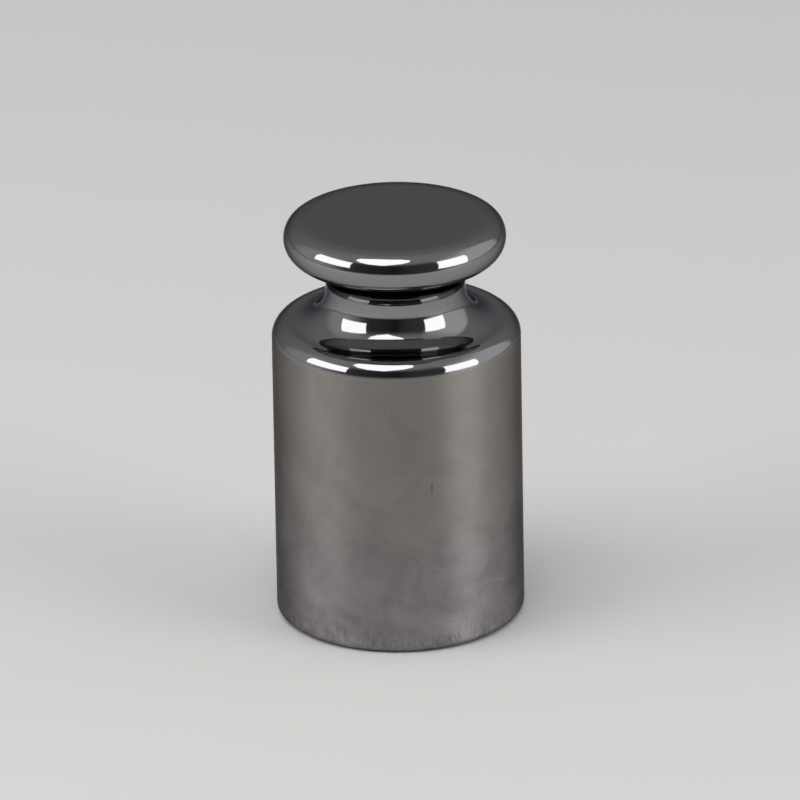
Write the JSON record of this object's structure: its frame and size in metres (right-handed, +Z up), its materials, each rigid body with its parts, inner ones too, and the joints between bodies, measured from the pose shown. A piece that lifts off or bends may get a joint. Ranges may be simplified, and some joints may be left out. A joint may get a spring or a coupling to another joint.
{
  "type": "calibration weight",
  "caption": "Turned cylindrical weight with rounded edges, a short waisted neck and a mushroom-shaped lifting knob, chrome plated.",
  "frame": {"origin": "centre of the flat foot, on the turning axis", "axes": "+Z up along the turning axis, from the foot to the knob"},
  "size_m": [0.0178, 0.0178, 0.03],
  "materials": {
    "chrome_plate": "bright chrome plate over turned and polished steel"
  },
  "bodies": {
    "root": {"weight": "chrome_plate"}
  },
  "joints": []
}
